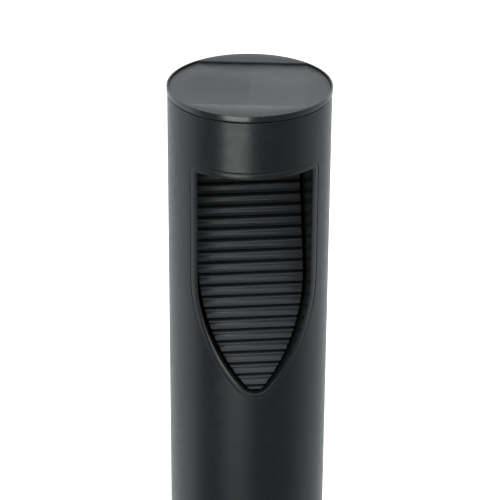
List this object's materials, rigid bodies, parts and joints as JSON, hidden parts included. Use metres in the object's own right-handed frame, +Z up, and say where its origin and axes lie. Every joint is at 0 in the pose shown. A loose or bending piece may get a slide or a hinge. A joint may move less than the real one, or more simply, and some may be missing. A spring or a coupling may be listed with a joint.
{
  "type": "solar bollard light",
  "caption": "Round solar bollard light: a shield-shaped window over a staircase of slats, lit from above by a twist-lock head that carries the solar panel.",
  "frame": {"origin": "middle of the base's underside, on the ground", "axes": "+Z up along the tube, -Y out of the window, +X to the window's right as seen from in front"},
  "size_m": [0.146, 0.146, 0.6],
  "materials": {
    "body_plastic": "satin black moulded plastic with a very fine grain",
    "bezel_plastic": "semi-gloss black, polished inside the recess",
    "louvre_plastic": "satin black moulded plastic",
    "solar_laminate": "dark laminated solar cell under a clear matt film",
    "seal_rubber": "matt black",
    "screw_steel": "zinc-plated steel",
    "contact_metal": "nickel-plated spring steel",
    "lens_plastic": "frosted translucent plastic",
    "board_white": "white solder mask",
    "board_green": "green solder mask",
    "diode_phosphor": "yellow phosphor in a white package",
    "cell_wrap": "plain shrink sleeve",
    "switch_plastic": "matt black",
    "lead_plastic": "insulated wire"
  },
  "bodies": {
    "pole": {"base_flange": "body_plastic", "body_tube": "body_plastic", "lock_collar": "body_plastic", "window_bezel": "bezel_plastic", "louvre_insert": "louvre_plastic", "base_screw_1": "screw_steel", "base_screw_2": "screw_steel", "base_screw_3": "screw_steel", "louvre_screw_1": "screw_steel", "louvre_screw_2": "screw_steel", "louvre_screw_3": "screw_steel", "louvre_screw_4": "screw_steel"},
    "head": {"head_cap": "body_plastic", "panel_seal": "seal_rubber", "solar_panel": "solar_laminate", "head_seal_ring": "seal_rubber", "head_can": "body_plastic", "light_lens": "lens_plastic", "light_board": "board_white", "control_board": "board_green", "battery_tray": "body_plastic", "battery_cell": "cell_wrap", "switch_body": "screw_steel", "battery_contact": "contact_metal", "battery_spring": "contact_metal", "panel_lead": "lead_plastic", "light_lead": "lead_plastic", "battery_lead": "lead_plastic", "can_screw_1": "screw_steel", "can_screw_2": "screw_steel", "can_screw_3": "screw_steel", "board_screw_1": "screw_steel", "board_screw_2": "screw_steel", "light_screw_1": "screw_steel", "light_screw_2": "screw_steel", "light_diode_1": "diode_phosphor", "light_diode_2": "diode_phosphor", "light_diode_3": "diode_phosphor"},
    "switch": {"switch_slider": "switch_plastic"}
  },
  "joints": [
    {"name": "head_twist", "type": "hinge", "parent": "pole", "child": "head", "pos_m": [0, 0, 0.59], "axis": [0, 0, 1], "range_deg": [0, 30]},
    {"name": "switch_slide", "type": "slide", "parent": "head", "child": "switch", "axis": [0.9895, -0.1444, 0], "range_m": [0, 0.003]}
  ]
}
